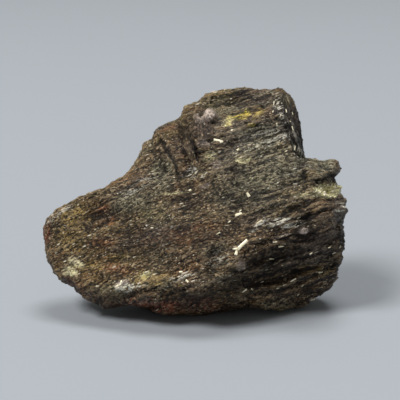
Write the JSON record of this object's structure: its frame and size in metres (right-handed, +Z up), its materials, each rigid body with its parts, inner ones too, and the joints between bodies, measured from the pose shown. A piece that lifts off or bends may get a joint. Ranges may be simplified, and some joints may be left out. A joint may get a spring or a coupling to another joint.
{
  "type": "rough rock specimen",
  "caption": "Hand-sized piece of rough, dark layered nuummite with a broad broken face, a stepped upper block, a side lobe and a small flat spot that it stands on.",
  "frame": {"origin": "on the ground under the middle of the stone's bounding box", "axes": "+X along the stone's length, from the rounded lobe to the serrated edge; +Y away from the broad broken face; +Z up"},
  "size_m": [0.087, 0.046, 0.0631],
  "materials": {
    "nuummite": "rough broken surface with a fine glitter"
  },
  "bodies": {
    "root": {"nuummite": "nuummite"}
  },
  "joints": []
}
